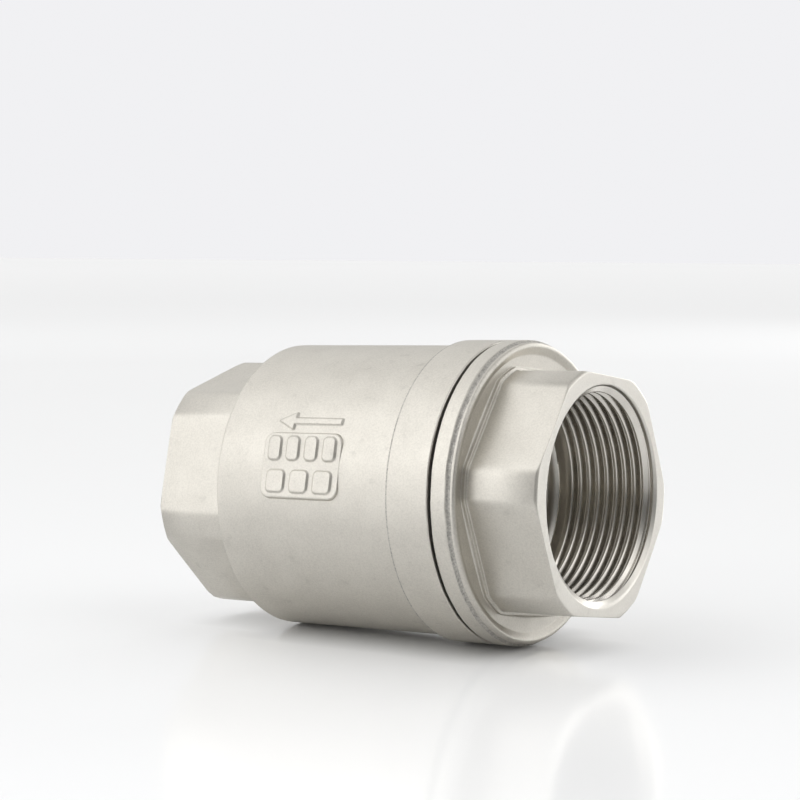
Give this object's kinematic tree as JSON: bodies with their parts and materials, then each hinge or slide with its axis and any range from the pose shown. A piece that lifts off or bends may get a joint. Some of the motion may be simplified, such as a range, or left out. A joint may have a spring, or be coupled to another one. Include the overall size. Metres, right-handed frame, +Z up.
{
  "type": "in-line spring check valve",
  "caption": "In-line spring check valve: cast stainless barrel with a hexagon hub and female pipe thread at each end, screwed-in inlet cap, and a spring-loaded soft-seated poppet inside.",
  "frame": {"origin": "middle of the valve's axis, half way between its two end faces", "axes": "+X along the axis towards the inlet end, where the cap screws in; the flow leaves at -X; +Z up as the valve lies on its side with its marks towards -Y"},
  "size_m": [0.101, 0.0672, 0.0672],
  "materials": {
    "cast_steel": "bead-blasted stainless casting",
    "machined_steel": "turned stainless",
    "spring_steel": "drawn stainless wire and strip",
    "ptfe": "white fluoroplastic",
    "gasket": "dark graphite-filled joint ring"
  },
  "bodies": {
    "valve_body": {"valve_body": "cast_steel", "inlet_cap": "cast_steel", "cap_gasket": "gasket", "stem_guide": "cast_steel", "guide_bush": "ptfe", "guide_circlip": "spring_steel", "return_spring": "spring_steel"},
    "poppet": {"poppet_disc": "machined_steel", "seal_ring": "ptfe", "seal_retainer": "machined_steel", "lock_washer": "spring_steel", "retainer_nut": "machined_steel", "poppet_stem": "machined_steel"}
  },
  "joints": [
    {"name": "poppet_lift", "type": "slide", "parent": "valve_body", "child": "poppet", "axis": [-1, 0, 0], "range_m": [0, 0.01], "stiffness_N_per_m": 400, "springref_m": -0.0085, "deforming": ["return_spring"]}
  ]
}
